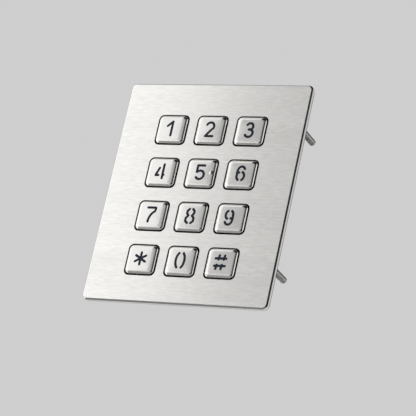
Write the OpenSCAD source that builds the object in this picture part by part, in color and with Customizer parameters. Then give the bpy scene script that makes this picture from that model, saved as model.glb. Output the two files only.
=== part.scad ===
// Stainless steel 12-key panel keypad, built as an assembly.
// The front faces -Y and +Z is up. The origin is the centre of the sealing plane, which is
// the rear face of the gasket, so the panel that carries the keypad fills the space y > 0.

/* [Faceplate] */
// Width of the faceplate
plate_w = 86.4; // [85:0.2:95]
// Height of the faceplate
plate_h = 101.4; // [99:0.2:110]
// Thickness of the faceplate
plate_t = 2; // [1.8:0.1:3]
// Corner radius of the faceplate
plate_r = 2.4; // [1.5:0.1:4]
// Chamfer along the front edge of the faceplate
plate_chamfer = 0.7; // [0.3:0.1:1]

/* [Keys] */
// Distance between key columns
pitch_x = 18.6; // [18.4:0.1:19]
// Distance between key rows
pitch_z = 20.1; // [19.8:0.1:20.4]
// How far the middle of the key grid sits below the middle of the plate
grid_drop = 1.6; // [0:0.1:2]
// Width of a key cap
key_w = 13.9; // [13.6:0.1:14]
// Height of a key cap
key_h = 13.4; // [13.2:0.1:13.6]
// Corner radius of a key cap
key_r = 2.1; // [1.8:0.1:2.5]
// Radius of the crowned rim of a key cap
key_rim_r = 2.2; // [1.5:0.1:2.6]
// How far a key stands out of the faceplate
key_rise = 1.4; // [1.2:0.1:1.8]
// Travel of a key when it is pressed
key_travel = 1; // [0.6:0.1:1]
// Gap all round between a key and its window
key_gap = 0.35; // [0.3:0.05:0.5]

/* [Legends] */
// Half the height of a legend, measured to the middle of its strokes
legend_h = 3.2; // [2.8:0.1:3.4]
// Width of a legend stroke
legend_w = 1.12; // [0.8:0.02:1.2]

/* [Mounting] */
// Distance between the mounting studs along the width
stud_span_x = 80; // [78:0.1:80]
// Distance between the mounting studs along the height
stud_span_z = 63; // [55:1:70]
// Diameter of a mounting stud
stud_d = 3; // [2.5:0.5:3]
// Length of a mounting stud behind the faceplate
stud_len = 15; // [12:1:20]
// Diameter of the weld collar at the foot of a mounting stud
collar_d = 3.8; // [3.6:0.1:4]
// Thickness of the gasket
gasket_t = 1; // [0.8:0.1:1.2]

/* [Rear assembly] */
// Width of the guide frame and the circuit board
rear_w = 68; // [68:1:70]
// Height of the guide frame and the circuit board
rear_h = 86; // [85:1:87]
// Thickness of the guide frame
guide_t = 3.2; // [3.2:0.1:3.6]
// Thickness of the keymat's web
mat_t = 1; // [0.8:0.1:1.2]
// Thickness of the circuit board
board_t = 1.6; // [1.2:0.1:1.6]
// Number of pins in the connector
pin_count = 8; // [8:1:8]

/* [Hidden] */
$fn = 48;
eps = 0.5;                              // overshoot of a cutting tool past the face it cuts

// Levels through the thickness, front to back
plate_back = -gasket_t;
plate_front = plate_back - plate_t;
key_front = plate_front - key_rise;
flange_clear = 0.15;                    // rest gap between a key's flange and the plate
flange_t = 0.8;
flange_front = plate_back + flange_clear;
key_back = flange_front + flange_t;
guide_back = plate_back + guide_t;
mat_back = guide_back + mat_t;
board_back = mat_back + board_t;
washer_t = 0.5;
washer_back = board_back + washer_t;
nut_t = 2;
nut_back = washer_back + nut_t;

// Key grid
columns = [-1, 0, 1];
rows = [1.5, 0.5, -0.5, -1.5];
flange_lip = 1;                         // how far a flange reaches past its key
guide_gap = 0.4;                        // running gap between a flange and its guide
window_w = key_w + 2 * key_gap;
window_h = key_h + 2 * key_gap;
flange_w = key_w + 2 * flange_lip;
flange_h = key_h + 2 * flange_lip;
guide_w = flange_w + 2 * guide_gap;
guide_h = flange_h + 2 * guide_gap;

// Key cap shell and the resin core inside it
wall = 0.9;
face_t = 0.9;
legend_sink = 0.12;                     // how far a legend lies below the face of its key
core_front = key_front + face_t;
pip_r = 1;                              // sphere that the locating pip is cut from
pip_sink = 0.5;
pip_x = 5.2;

// Dome, plunger and pill under each key
dome_r = 6.6;
dome_wall = 0.5;
plunger_r = 3.4;
plunger_top = key_back + 0.1;
plunger_t = 0.9;
pill_r = 2.5;
pill_t = 0.4;
pad_t = 0.04;
pad_margin = 0.4;                       // how far the contacts reach past the pill
pad_gap = 0.4;
contact_clear = 0.1;                    // what is left under a pill at full travel
pill_back = mat_back - key_travel - contact_clear;
pill_front = pill_back - pill_t;
pill_seat = 0.05;                       // glue line between a pill and its plunger

// Keymat outline: it stops short of the connector at the top
mat_w = rear_w - 2;
mat_low = -rear_h / 2 + 1;
mat_high = 37.4;
ledge_low = mat_high + 0.4;

// Clamp fasteners, M2.5
clamp_x = 30.5;
clamp_z = 34.7;
clamp_d = 2.5;
clamp_tip = nut_back + 1;
clamp_hole_d = 3;
washer_d = 6;
washer_bore_d = 2.7;
nut_af = 5;                             // across flats
thread_clear = 0.02;                    // left between a stud and the bore of its nut

// Connector, 2.54 mm pitch
pin_pitch = 2.54;
pin_side = 0.64;
pin_hole_d = 1;
header_z = 40.1;
header_depth = 2.54;
pin_out = 6;
pin_tail = 1;
tail_pocket_w = pin_count * pin_pitch + 3;
tail_pocket_h = 3.6;

// Surge suppressors, one on each of the seven lines of the key matrix
diode_count = len(rows) + len(columns);
diode_pitch = 4;
diode_z = 34;
diode_size = [1.4, 2.8, 0.9];

// Gasket
gasket_inset = 0.3;                     // from the edge of the plate
gasket_inner_w = rear_w + 4;
gasket_inner_h = rear_h + 2;
collar_clear = 0.1;                     // round a stud's collar in the gasket

KEYS = ["1", "2", "3", "4", "5", "6", "7", "8", "9", "star", "0", "hash"];

STEEL = [0.80, 0.80, 0.78];
NAVY = [0.12, 0.17, 0.25];
RUBBER = [0.10, 0.10, 0.11];
SILICONE = [0.55, 0.56, 0.57];
BOARD = [0.06, 0.32, 0.20];
GOLD = [0.85, 0.68, 0.30];

function key_x(i) = columns[i % 3] * pitch_x;
function key_z(i) = rows[floor(i / 3)] * pitch_z - grid_drop;

// Rounded rectangle, centred
module plate_outline(w, h, r) {
    square([w - 2 * r, h], center = true);
    square([w, h - 2 * r], center = true);
    for (x = [-1, 1], z = [-1, 1])
        translate([x * (w / 2 - r), z * (h / 2 - r)]) circle(r);
}

// Extrudes an outline drawn in X and Z so that it fills y0 to y1
module slab(y0, y1) {
    translate([0, y1, 0]) rotate([90, 0, 0]) linear_extrude(y1 - y0) children();
}

// Cylinder along Y from y0 to y1
module rod(r, y0, y1) {
    translate([0, y1, 0]) rotate([90, 0, 0]) cylinder(h = y1 - y0, r = r);
}

// Section across a block whose two front edges are rounded: x across, y from front to back
module crowned_section(width, r, y0, y1) {
    difference() {
        translate([-width / 2, y0]) square([width, y1 - y0]);
        for (side = [-1, 1]) difference() {
            translate([side * (width - r) / 2 - r / 2, y0]) square(r);
            translate([side * (width / 2 - r), y0 + r]) circle(r);
        }
    }
}

// Block from y0 to y1 with round corners and a round rim at the front
module crowned_block(w, h, corner, rim, y0, y1) {
    intersection() {
        slab(y0 - eps, y1) plate_outline(w, h, corner);
        translate([0, 0, -h]) linear_extrude(2 * h) crowned_section(w, rim, y0, y1);
        rotate([0, 90, 0]) translate([0, 0, -w]) linear_extrude(2 * w) crowned_section(h, rim, y0, y1);
    }
}

// Half of a chamfered section: x from the middle outwards, y from front to back
function chamfered_half(reach, c, y0, y1) = [[0, y0], [reach - c, y0], [reach, y0 + c], [reach, y1], [0, y1]];

module chamfered_bar(width, length, c, y0, y1) {
    for (side = [0, 1]) mirror([side, 0, 0]) translate([0, 0, -length / 2]) linear_extrude(length)
        polygon(chamfered_half(width / 2, c, y0, y1));
}

// Plate with round corners and a chamfer all along its front edge
module chamfered_plate(w, h, corner, c, y0, y1) {
    chamfered_bar(w, h - 2 * corner, c, y0, y1);
    rotate([0, 90, 0]) chamfered_bar(h, w - 2 * corner, c, y0, y1);
    for (x = [-1, 1], z = [-1, 1]) translate([x * (w / 2 - corner), 0, z * (h / 2 - corner)])
        rotate([-90, 0, 0]) rotate_extrude() polygon(chamfered_half(corner, c, y0, y1));
}

module at_key(i) {
    translate([key_x(i), 0, key_z(i)]) children();
}

module at_every_key() {
    for (i = [0 : len(KEYS) - 1]) at_key(i) children();
}

// The six places where the rear assembly is clamped to the plate
module at_clamps() {
    for (x = [-1, 1], z = [-1, 0, 1])
        translate([x * clamp_x, 0, z * clamp_z - grid_drop]) children();
}

module at_mount_studs() {
    for (x = [-1, 1], z = [-1, 1])
        translate([x * stud_span_x / 2, 0, z * stud_span_z / 2]) children();
}

// ---- Legends: each is a list of strokes, and a stroke is a list of points ----

// Points along an arc, from angle a0 to a1, with half-axes rx and rz
function arc(cx, cz, rx, rz, a0, a1, steps = 6) =
    [for (k = [0 : steps]) let (a = a0 + (a1 - a0) * k / steps) [cx + rx * cos(a), cz + rz * sin(a)]];

SIX = [
    arc(0.5, 1.0, 1.7, legend_h - 1.0, 30, 180, 7),
    concat([[-1.2, 1.0]], arc(0.5, -1.2, 1.7, legend_h - 1.2, 180, 240, 3)),
    [[-1.3, 0.4], [-0.3, 0.4]],
    arc(0.5, -1.2, 1.7, legend_h - 1.2, 65, -60, 6)];

function strokes(k, top = legend_h) =
    k == "1" ? [[[-1.7, 1.2], [0.5, top + 0.1]], [[0.5, top + 0.4], [0.5, -top - 0.4]]] :
    k == "2" ? [concat(arc(0, 1.3, 1.8, top - 1.3, 155, -20, 8), [[0.4, -0.7], [-1.4, -top + 0.2]]),
                [[-1.8, -top], [2.3, -top]]] :
    k == "3" ? [arc(0, 1.6, 1.5, top - 1.6, 150, -70, 9), arc(0, -1.4, 1.8, top - 1.4, 80, -150, 10),
                [[-0.5, 0.25], [0.6, 0.25]]] :
    k == "4" ? [[[-0.7, 1.7], [-2.1, -1.8]], [[-2.4, -1.8], [-0.5, -1.8]],
                [[1.1, top + 0.4], [1.1, -top - 0.4]], [[1.1, -1.7], [2.1, -1.7]]] :
    k == "5" ? [[[-1.9, top], [2.0, top]], [[-1.5, top], [-1.5, 0.1]],
                arc(0.1, -1.15, 1.9, 1.95, 140, -145, 11)] :
    k == "6" ? SIX :
    k == "7" ? [[[-2.3, top], [2.1, top]],
                concat([[1.9, top - 0.6]], arc(3.4, -top - 0.4, 4.2, 5.6, 115, 180, 5))] :
    k == "8" ? [for (side = [-1, 1]) [
                    [side * 0.8, top + 0.3], [side * 1.6, top - 0.7], [side * 1.6, 1.2], [side * 0.9, 0.2],
                    [side * 1.8, -0.9], [side * 1.8, -top + 0.9], [side * 0.8, -top - 0.3]]] :
    k == "9" ? [for (s = SIX) [for (p = s) -p]] :
    k == "0" ? [for (side = [-1, 1]) [for (p = arc(0, 0, 2, top + 0.7, 60, -60, 8)) [side * p[0], p[1]]]] :
    k == "star" ? [for (a = [30, 90, 150])
                    [[-top * cos(a), -top * sin(a)], [top * cos(a), top * sin(a)]]] :
    [for (side = [-1, 1]) each [
        [[-2.8, side * 1.65], [2.8, side * 1.65]],
        [[-1.2 + side * 0.4, side * top], [-1.2 + side * 0.2, side * 0.8]],
        [[1.2 + side * 0.4, side * top], [1.2 + side * 0.2, side * 0.8]]]];

function unit(v) = v / norm(v);
function normal(v) = [-v[1], v[0]];

// Half-width step at point i of a stroke, mitred between the two segments that meet there
function half_step(p, i) =
    let (a = unit(i > 0 ? p[i] - p[i - 1] : p[1] - p[0]),
         b = unit(i < len(p) - 1 ? p[i + 1] - p[i] : p[i] - p[i - 1]),
         n = unit(normal(a + b)))
    n * legend_w / 2 / (n * normal(a));

module stroke(p) {
    last = len(p) - 1;
    polygon(concat([for (i = [0 : last]) p[i] + half_step(p, i)],
                   [for (i = [last : -1 : 0]) p[i] - half_step(p, i)]));
}

module legend(k) {
    for (s = strokes(k)) stroke(s);
}

// ---- Keys ----

// Stainless cap: a crowned shell with its legend cut through and a flange behind the plate
module key_cap(i) color(STEEL) at_key(i) {
    difference() {
        union() {
            crowned_block(key_w, key_h, key_r, key_rim_r, key_front, key_back);
            slab(flange_front, key_back) plate_outline(flange_w, flange_h, key_r + flange_lip);
        }
        slab(core_front, key_back + eps)
            plate_outline(key_w - 2 * wall, key_h - 2 * wall, key_r - wall / 2);
        slab(key_front - eps, core_front + eps) legend(KEYS[i]);
    }
    if (KEYS[i] == "5") translate([pip_x, 0, 0]) pip();
}

// Locating pip on the middle key, a low dome that stands on the face
module pip() {
    intersection() {
        translate([0, key_front + pip_sink, 0]) sphere(pip_r);
        rod(pip_r, key_front - pip_r, key_front + pip_sink);
    }
}

// Resin core: fills the cap and shows through the legend
module legend_core(i) color(NAVY) at_key(i) {
    slab(core_front, key_back) plate_outline(key_w - 2 * wall, key_h - 2 * wall, key_r - wall / 2);
    slab(key_front + legend_sink, core_front + 0.1) legend(KEYS[i]);
}

module contact_pill(i) color(RUBBER) at_key(i) rod(pill_r, pill_front, pill_back);

// ---- Faceplate, studs and gasket ----

module faceplate() color(STEEL) difference() {
    chamfered_plate(plate_w, plate_h, plate_r, plate_chamfer, plate_front, plate_back);
    at_every_key() slab(plate_front - eps, plate_back + eps)
        plate_outline(window_w, window_h, key_r + key_gap / 2);
}

// Welded stud with a chamfered tip, standing on the rear face of the plate
module weld_stud(d, foot, tip) {
    chamfer = d / 6;
    rotate([-90, 0, 0]) rotate_extrude() polygon([
        [0, foot], [d / 2, foot], [d / 2, tip - chamfer], [d / 2 - chamfer, tip], [0, tip]]);
}

// The collar of a mounting stud is as high as the gasket, so the thread starts at the sealing plane
module mount_studs() color(STEEL) at_mount_studs() {
    rod(collar_d / 2, plate_back, 0);
    weld_stud(stud_d, plate_back, plate_back + stud_len);
}

module gasket() color(RUBBER) slab(plate_back, 0) difference() {
    plate_outline(plate_w - 2 * gasket_inset, plate_h - 2 * gasket_inset, plate_r);
    plate_outline(gasket_inner_w, gasket_inner_h, plate_r);
    for (x = [-1, 1], z = [-1, 1])
        translate([x * stud_span_x / 2, z * stud_span_z / 2]) circle(collar_d / 2 + collar_clear);
}

// ---- Rear assembly ----

// Grid that guides the flanges, with a ledge above the keymat and a pocket for the pin tails
module guide_frame() color(RUBBER) difference() {
    union() {
        slab(plate_back, guide_back) plate_outline(rear_w, rear_h, plate_r);
        translate([0, 0, (ledge_low + rear_h / 2) / 2]) slab(guide_back, mat_back)
            square([mat_w, rear_h / 2 - ledge_low], center = true);
    }
    at_every_key() slab(plate_back - eps, guide_back + eps)
        plate_outline(guide_w, guide_h, key_r + flange_lip);
    at_clamps() rod(clamp_hole_d / 2, plate_back - eps, mat_back + eps);
    translate([0, 0, header_z]) slab(guide_back - pin_tail, mat_back + eps)
        square([tail_pocket_w, tail_pocket_h], center = true);
}

// One dome: a conical web from the mat up to a plunger that carries the pill
module dome() {
    plunger_base = min(plunger_top + plunger_t, pill_front - pill_seat);
    rotate([-90, 0, 0]) rotate_extrude() polygon([
        [0, plunger_top], [plunger_r, plunger_top], [plunger_r, plunger_base],
        [dome_r, guide_back], [dome_r, guide_back + dome_wall],
        [dome_r - dome_wall, guide_back + dome_wall],
        [plunger_r - dome_wall, pill_front - pill_seat], [0, pill_front - pill_seat]]);
}

module keymat() color(SILICONE) {
    difference() {
        translate([0, 0, (mat_high + mat_low) / 2]) slab(guide_back, mat_back)
            plate_outline(mat_w, mat_high - mat_low, plate_r);
        at_every_key() rod(dome_r - dome_wall, guide_back - eps, mat_back + eps);
        at_clamps() rod(clamp_hole_d / 2, guide_back - eps, mat_back + eps);
    }
    at_every_key() dome();
}

module circuit_board() color(BOARD) difference() {
    slab(mat_back, board_back) plate_outline(rear_w, rear_h, plate_r);
    at_clamps() rod(clamp_hole_d / 2, mat_back - eps, board_back + eps);
    at_pins() rod(pin_hole_d / 2, mat_back - eps, board_back + eps);
}

// Two half-round contacts under each key, with a gap between them
module contact_pads() color(GOLD) at_every_key() slab(mat_back - pad_t, mat_back) difference() {
    circle(pill_r + pad_margin);
    square([pad_gap, 3 * pill_r], center = true);
}

module line_diodes() color(RUBBER)
    for (i = [0 : diode_count - 1])
        translate([(i - (diode_count - 1) / 2) * diode_pitch, 0, diode_z])
            slab(board_back, board_back + diode_size[2])
                square([diode_size[0], diode_size[1]], center = true);

module at_pins() {
    for (i = [0 : pin_count - 1])
        translate([(i - (pin_count - 1) / 2) * pin_pitch, 0, header_z]) children();
}

module header_body() color(RUBBER) difference() {
    translate([0, 0, header_z]) slab(board_back, board_back + header_depth)
        square([pin_count * pin_pitch, header_depth], center = true);
    at_pins() slab(board_back - eps, board_back + header_depth + eps) square(pin_side, center = true);
}

module header_pins() color(GOLD) at_pins()
    slab(mat_back - pin_tail, board_back + header_depth + pin_out) square(pin_side, center = true);

module frame_studs() color(STEEL) at_clamps() weld_stud(clamp_d, plate_back, clamp_tip);

module frame_washers() color(STEEL) at_clamps() difference() {
    rod(washer_d / 2, board_back, washer_back);
    rod(washer_bore_d / 2, board_back - eps, washer_back + eps);
}

module frame_nuts() color(STEEL) at_clamps() difference() {
    slab(washer_back, nut_back) circle(d = nut_af / cos(30), $fn = 6);
    rod(clamp_d / 2 + thread_clear, washer_back - eps, nut_back + eps);
}

faceplate();
mount_studs();
gasket();
guide_frame();
keymat();
circuit_board();
contact_pads();
line_diodes();
header_body();
header_pins();
frame_studs();
frame_washers();
frame_nuts();
for (i = [0 : len(KEYS) - 1]) {
    key_cap(i);
    legend_core(i);
    contact_pill(i);
}
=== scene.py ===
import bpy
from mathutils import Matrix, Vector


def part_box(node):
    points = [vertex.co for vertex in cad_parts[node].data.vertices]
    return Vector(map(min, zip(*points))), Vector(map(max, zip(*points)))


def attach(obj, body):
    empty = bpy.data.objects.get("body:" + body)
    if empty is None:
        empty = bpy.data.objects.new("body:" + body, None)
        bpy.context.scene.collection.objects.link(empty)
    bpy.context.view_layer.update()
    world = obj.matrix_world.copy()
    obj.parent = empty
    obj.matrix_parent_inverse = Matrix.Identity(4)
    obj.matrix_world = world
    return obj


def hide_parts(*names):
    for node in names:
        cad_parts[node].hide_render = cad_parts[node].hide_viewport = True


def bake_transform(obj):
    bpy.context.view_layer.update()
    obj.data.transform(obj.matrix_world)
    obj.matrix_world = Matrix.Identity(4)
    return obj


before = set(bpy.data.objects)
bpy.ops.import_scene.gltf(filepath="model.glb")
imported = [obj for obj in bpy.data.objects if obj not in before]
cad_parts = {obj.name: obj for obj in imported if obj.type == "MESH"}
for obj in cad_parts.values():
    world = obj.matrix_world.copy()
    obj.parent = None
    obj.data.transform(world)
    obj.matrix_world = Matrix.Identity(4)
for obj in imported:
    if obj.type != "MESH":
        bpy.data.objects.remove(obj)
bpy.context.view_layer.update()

from math import cos, pi, radians, sin, tan

import bmesh
import bpy
from mathutils import Matrix, Vector

MM = 0.001
KEYS = ["1", "2", "3", "4", "5", "6", "7", "8", "9", "star", "0", "hash"]

# ---------------------------------------------------------------- places, from the frame


def centre(node):
    low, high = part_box(node)
    return (Vector(low) + Vector(high)) / 2


def size(node):
    low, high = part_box(node)
    return Vector(high) - Vector(low)


GRID_DEPTH = 3.2 * MM  # of the guide frame without its ledge

plate_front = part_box("faceplate")[0][1]
plate_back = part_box("faceplate")[1][1]
seal_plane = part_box("gasket")[1][1]
key_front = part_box("key_1")[0][1]
key_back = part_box("key_1")[1][1]
mat_front = plate_back + GRID_DEPTH
mat_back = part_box("circuit_board")[0][1]
board_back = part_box("circuit_board")[1][1]
washer_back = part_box("frame_washers")[1][1]
nut_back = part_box("frame_nuts")[1][1]

# Sizes that the boxes don't give, as in the CAD model
FLANGE_LIP = 1.0 * MM
FLANGE_T = 0.8 * MM
KEY_CORNER = 2.1 * MM
KEY_RIM = 2.2 * MM
KEY_GAP = 0.35 * MM
CAP_WALL = 0.9 * MM
PLATE_CORNER = 2.4 * MM
PLATE_CHAMFER = 0.7 * MM
LEGEND_SINK = 0.12 * MM
LEGEND_HALF = 3.2  # in millimetres, like every point of a legend
LEGEND_STROKE = 1.12
PIP_X = 5.2 * MM
COLLAR_R = 1.9 * MM
M3_R = 1.5 * MM
M3_PITCH = 0.5 * MM
M25_R = 1.25 * MM
M25_PITCH = 0.45 * MM
GASKET_HOLE_R = 2.0 * MM
GASKET_SIDE_GAP = 2.0 * MM
GASKET_END_GAP = 1.0 * MM
CLAMP_HOLE = 1.5 * MM
WASHER_R = 3.0 * MM
GUIDE_GAP = 0.4 * MM
TAIL_POCKET = (23.32 * MM, 3.6 * MM, 2.0 * MM)  # width, height and depth
PIN_COUNT = 8
PIN_SIDE = 0.64 * MM
PIN_HOLE_R = 0.5 * MM
DIODE_COUNT = 7
DIODE_W = 1.4 * MM
DOME_R = 6.6 * MM
PLUNGER_R = 3.4 * MM
PILL_GLUE = 0.05 * MM

# Details that only this model has
KEY_CROWN = 0.07 * MM
CORNER_TIGHTENING = 0.55  # of a cap's corners, for each unit that its outline shrinks
CAP_SHADE_FROM = -0.26 * MM  # where the painted shade on a cap's sides starts, from the front of the plate
INNER_ROUND = 0.5 * MM
EDGE_BREAK = 0.12 * MM
FINE_EDGE = 0.1 * MM
CLAMP_PAD = 3.3 * MM
COPPER_T = 0.035 * MM
TRACE_W = 0.4 * MM
LANE = 0.9 * MM  # between tracks that run side by side
INK_LINE = 0.15 * MM

# ---------------------------------------------------------------- mesh helpers


def rounded_rect(width, height, corner, x=0.0, z=0.0, steps=8):
    """Gives a function that returns the outline, grown by a distance all round."""

    def outline(grow=0.0, corner_grow=None):
        r = max(corner + (grow if corner_grow is None else corner_grow), 0.05 * MM)
        half_w = width / 2 + grow - r
        half_h = height / 2 + grow - r
        points = []
        for quarter, (sx, sz) in enumerate(((1, 1), (-1, 1), (-1, -1), (1, -1))):
            for k in range(steps + 1):
                a = (quarter + k / steps) * pi / 2
                points.append((x + sx * half_w + r * cos(a), z + sz * half_h + r * sin(a)))
        return points

    return outline


def disc(radius, x=0.0, z=0.0, steps=32):
    def outline(grow=0.0):
        r = radius + grow
        return [(x + r * cos(2 * pi * k / steps), z + r * sin(2 * pi * k / steps)) for k in range(steps)]

    return outline


def ring(bm, points, y):
    return [bm.verts.new((x, y, z)) for x, z in points]


def bridge(bm, a, b):
    n = len(a)
    for k in range(n):
        bm.faces.new((a[k], a[(k + 1) % n], b[(k + 1) % n], b[k]))


def tube(bm, rings):
    for a, b in zip(rings, rings[1:]):
        bridge(bm, a, b)


def loop_edges(bm, verts):
    return [bm.edges.get((verts[k], verts[(k + 1) % len(verts)])) for k in range(len(verts))]


def round_end(radius, steps=4):
    """Rounded edge from a face to a wall, as (inset, depth) pairs. A radius of 0 leaves it square."""
    if not radius:
        return [(0.0, 0.0)]
    turns = [pi / 2 * k / steps for k in range(steps + 1)]
    return [(radius * (1 - sin(a)), radius * (1 - cos(a))) for a in turns]


def chamfer_end(chamfer, inner_round, outer_round, steps=5):
    """45 degree chamfer from a face to a wall, softened where it meets each of them."""
    inner_reach = inner_round * tan(pi / 8)
    outer_reach = outer_round * tan(pi / 8)
    points = []
    for k in range(steps + 1):
        a = pi / 4 * k / steps
        points.append((chamfer + inner_reach - inner_round * sin(a), inner_round * (1 - cos(a))))
    for k in range(steps + 1):
        a = pi / 4 * (1 + k / steps)
        points.append((outer_round * (1 - sin(a)), chamfer + outer_reach - outer_round * cos(a)))
    return points


def wall_rings(bm, outline, front, back, ends, inward):
    """Rings down a wall, from the end at the front face to the end at the back face."""
    sign = 1 if inward else -1
    front_end, back_end = ends
    rings = [ring(bm, outline(sign * inset), front + depth) for inset, depth in front_end]
    rings += [ring(bm, outline(sign * inset), back - depth) for inset, depth in reversed(back_end)]
    tube(bm, rings)
    return rings[0], rings[-1]


def holed_plate(bm, outer, holes, front, back, outer_ends, hole_ends):
    """A flat plate with holes through it. Each pair of ends is for the front and for the back."""
    ends = [wall_rings(bm, outer, front, back, outer_ends, inward=False)]
    ends += [wall_rings(bm, hole, front, back, hole_ends, inward=True) for hole in holes]
    for side, normal in ((0, Vector((0, -1, 0))), (1, Vector((0, 1, 0)))):
        edges = [e for end in ends for e in loop_edges(bm, end[side])]
        bmesh.ops.triangle_fill(bm, edges=edges, use_beauty=True, normal=normal)


def prism(bm, points, front, back):
    a = ring(bm, points, front)
    b = ring(bm, points, back)
    bridge(bm, a, b)
    bm.faces.new(a)
    bm.faces.new(list(reversed(b)))


def lathe(bm, profile, x=0.0, z=0.0, steps=32):
    """Turns a list of (radius, y) round an axis along Y. A radius of 0 makes a pole."""
    rows = []
    for r, y in profile:
        if r == 0:
            rows.append([bm.verts.new((x, y, z))])
        else:
            rows.append(ring(bm, disc(r, x, z, steps)(), y))
    for a, b in zip(rows, rows[1:]):
        if len(a) == 1 or len(b) == 1:
            pole, rim = (a[0], b) if len(a) == 1 else (b[0], a)
            for k in range(steps):
                bm.faces.new((rim[k], rim[(k + 1) % steps], pole))
        else:
            bridge(bm, a, b)
    return rows


def shade(mesh, sharp=35):
    """Smooth curves. Faces that are square to an axis stay flat, right up to their edges."""
    mesh.shade_smooth()
    mesh.set_sharp_from_angle(angle=radians(sharp))
    for p in mesh.polygons:
        if max(abs(c) for c in p.normal) > 0.99999:
            for k in p.loop_indices:
                mesh.edges[mesh.loops[k].edge_index].use_edge_sharp = True


def new_object(name, bm):
    bmesh.ops.recalc_face_normals(bm, faces=bm.faces)
    mesh = bpy.data.meshes.new(name)
    bm.to_mesh(mesh)
    bm.free()
    obj = bpy.data.objects.new(name, mesh)
    bpy.context.scene.collection.objects.link(obj)
    return obj


def finish_piece(obj, body, finishes, stands_for=()):
    for finish in finishes:
        obj.data.materials.append(finish)
    shade(obj.data)
    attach(obj, body)
    if stands_for:
        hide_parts(*stands_for)
    return obj


def boolean(obj, tool, operation):
    """Cuts tool from obj, or adds it, and deletes tool."""
    modifier = obj.modifiers.new("cut", "BOOLEAN")
    modifier.operation = operation
    modifier.solver = "EXACT"
    modifier.use_self = True
    modifier.object = tool
    shaped = obj.evaluated_get(bpy.context.evaluated_depsgraph_get())
    mesh = bpy.data.meshes.new_from_object(shaped)
    obj.modifiers.clear()
    old = obj.data
    obj.data = mesh
    bpy.data.meshes.remove(old)
    bpy.data.objects.remove(tool)


# ---------------------------------------------------------------- legends


def arc(cx, cz, rx, rz, a0, a1, steps=14):
    turns = [radians(a0 + (a1 - a0) * k / steps) for k in range(steps + 1)]
    return [(cx + rx * cos(a), cz + rz * sin(a)) for a in turns]


H = LEGEND_HALF
SIX = [
    arc(0.5, 1.0, 1.7, H - 1.0, 30, 180),
    [(-1.2, 1.0)] + arc(0.5, -1.2, 1.7, H - 1.2, 180, 240),
    [(-1.3, 0.4), (-0.3, 0.4)],
    arc(0.5, -1.2, 1.7, H - 1.2, 65, -60),
]


def strokes(key):
    """The strokes of a key's legend, each a list of points in millimetres from the key's centre."""
    if key == "1":
        return [[(-1.7, 1.2), (0.5, H + 0.1)], [(0.5, H), (0.5, -H)]]
    if key == "2":
        bowl = arc(0, 1.3, 1.8, H - 1.3, 155, -20)
        return [bowl + [(0.4, -0.7), (-1.4, -H + 0.2)], [(-1.5, -H), (1.9, -H)]]
    if key == "3":
        return [
            arc(0, 1.6, 1.5, H - 1.6, 150, -70),
            arc(0, -1.4, 1.8, H - 1.4, 80, -150),
            [(-0.3, 0.25), (0.4, 0.25)],
        ]
    if key == "4":
        return [
            [(-0.8, 1.5), (-2.1, -1.7)],
            [(-2.1, -1.8), (-0.8, -1.8)],
            [(1.1, H), (1.1, -H)],
            [(1.1, -1.7), (1.6, -1.7)],
        ]
    if key == "5":
        return [
            [(-1.5, H), (1.7, H)],
            [(-1.5, H), (-1.5, 0.3)],
            arc(0.1, -1.15, 1.9, 1.95, 140, -145),
        ]
    if key == "6":
        return SIX
    if key == "7":
        return [[(-1.9, H), (1.8, H)], [(1.9, H - 0.6)] + arc(3.4, -H, 4.2, 5.2, 115, 180)]
    if key == "8":
        upper = [(0.8, H), (1.6, H - 0.9), (1.6, 1.2), (0.9, 0.2)]
        lower = [(1.8, -0.9), (1.8, -H + 0.9), (0.8, -H)]
        return [[(side * x, z) for x, z in upper + lower] for side in (-1, 1)]
    if key == "9":
        return [[(-x, -z) for x, z in stroke] for stroke in SIX]
    if key == "0":
        bow = arc(0, 0, 2.0, H + 0.5, 60, -60)
        return [[(side * x, z) for x, z in bow] for side in (-1, 1)]
    if key == "star":
        arm = 2.7
        turns = (pi / 6, pi / 2, 5 * pi / 6)
        return [[(-arm * cos(a), -arm * sin(a)), (arm * cos(a), arm * sin(a))] for a in turns]
    bars = []
    for side in (-1, 1):
        bars.append([(-2.4, side * 1.65), (2.4, side * 1.65)])
        for x in (-1.2, 1.2):
            bars.append([(x + side * 0.4, side * (H - 0.2)), (x + side * 0.2, side * 1.2)])
    return bars


def stroke_outline(points, width):
    """Outline of a stroke with mitred bends and round ends."""
    half = width / 2
    line = [Vector(p) for p in points]

    def left(a):
        return Vector((-a.y, a.x)).normalized()

    def side(path):
        ways = [(b - a).normalized() for a, b in zip(path, path[1:])]
        ways = [ways[0]] + ways + [ways[-1]]
        out = []
        for p, a, b in zip(path, ways, ways[1:]):
            n = left(a + b)
            out.append(p + n * half / n.dot(left(a)))
        return out

    def end(path):
        way = (path[-1] - path[-2]).normalized()
        turns = [pi / 2 - pi * k / 8 for k in range(1, 8)]
        return [path[-1] + (way * cos(a) + left(way) * sin(a)) * half for a in turns]

    back = line[::-1]
    return side(line) + end(line) + side(back) + end(back)


def legend_solid(key, name, x, z, front, back):
    bm = bmesh.new()
    for stroke in strokes(key):
        points = [(x + p.x * MM, z + p.y * MM) for p in stroke_outline(stroke, LEGEND_STROKE)]
        prism(bm, points, front, back)
    return new_object(name, bm)


# ---------------------------------------------------------------- materials


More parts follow.
